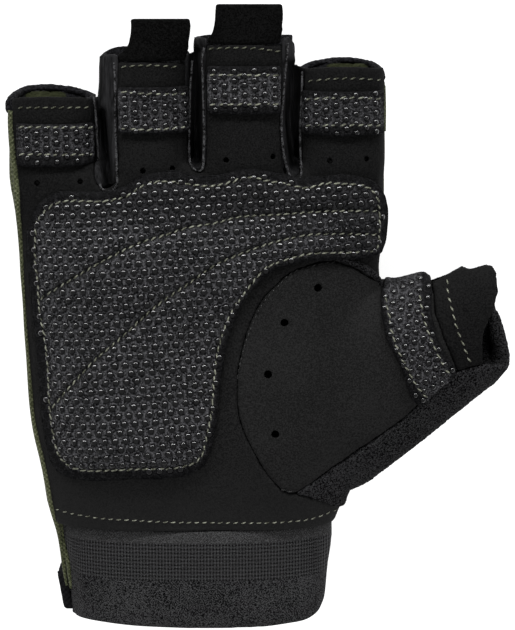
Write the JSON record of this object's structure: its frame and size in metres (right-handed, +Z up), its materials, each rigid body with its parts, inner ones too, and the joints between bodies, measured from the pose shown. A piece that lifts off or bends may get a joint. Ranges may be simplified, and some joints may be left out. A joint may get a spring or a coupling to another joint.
{
  "type": "fingerless weightlifting glove",
  "caption": "Fingerless right-hand gym glove lying palm up, with dotted grip pads, pull tabs, terry thumb back, elastic cuff and wrist strap",
  "frame": {"origin": "on the surface that the glove lies on, under the middle of the palm", "axes": "+X towards the thumb, +Y towards the fingers, +Z up out of the palm"},
  "size_m": [0.1309, 0.1606, 0.0335],
  "materials": {
    "palm_leather": "matt smooth black leather",
    "back_fabric": "woven olive green stretch fabric",
    "gusset_leather": "thin smooth black leather with soft folds",
    "binding": "black stretch binding",
    "grip": "charcoal grip cloth with raised glossy dots",
    "tab_leather": "matt smooth black leather",
    "terry": "black towel-like loops",
    "elastic": "charcoal woven elastic with fine ribs",
    "strap": "black hook-and-loop webbing"
  },
  "bodies": {
    "root": {"palm_panel": "palm_leather", "back_panel": "back_fabric", "gusset_little_ring": "gusset_leather", "gusset_ring_middle": "gusset_leather", "gusset_middle_index": "gusset_leather", "edge_binding_little": "binding", "edge_binding_ring": "binding", "edge_binding_middle": "binding", "edge_binding_index": "binding", "finger_grip_little": "grip", "finger_grip_ring": "grip", "finger_grip_middle": "grip", "finger_grip_index": "grip", "pull_tab_ring": "tab_leather", "pull_tab_middle": "tab_leather", "grip_pad": "grip", "thumb_pad": "palm_leather", "thumb_hem": "palm_leather", "thumb_back": "terry", "thumb_grip": "grip", "cuff_band": "elastic", "wrist_strap": "strap"}
  },
  "joints": []
}
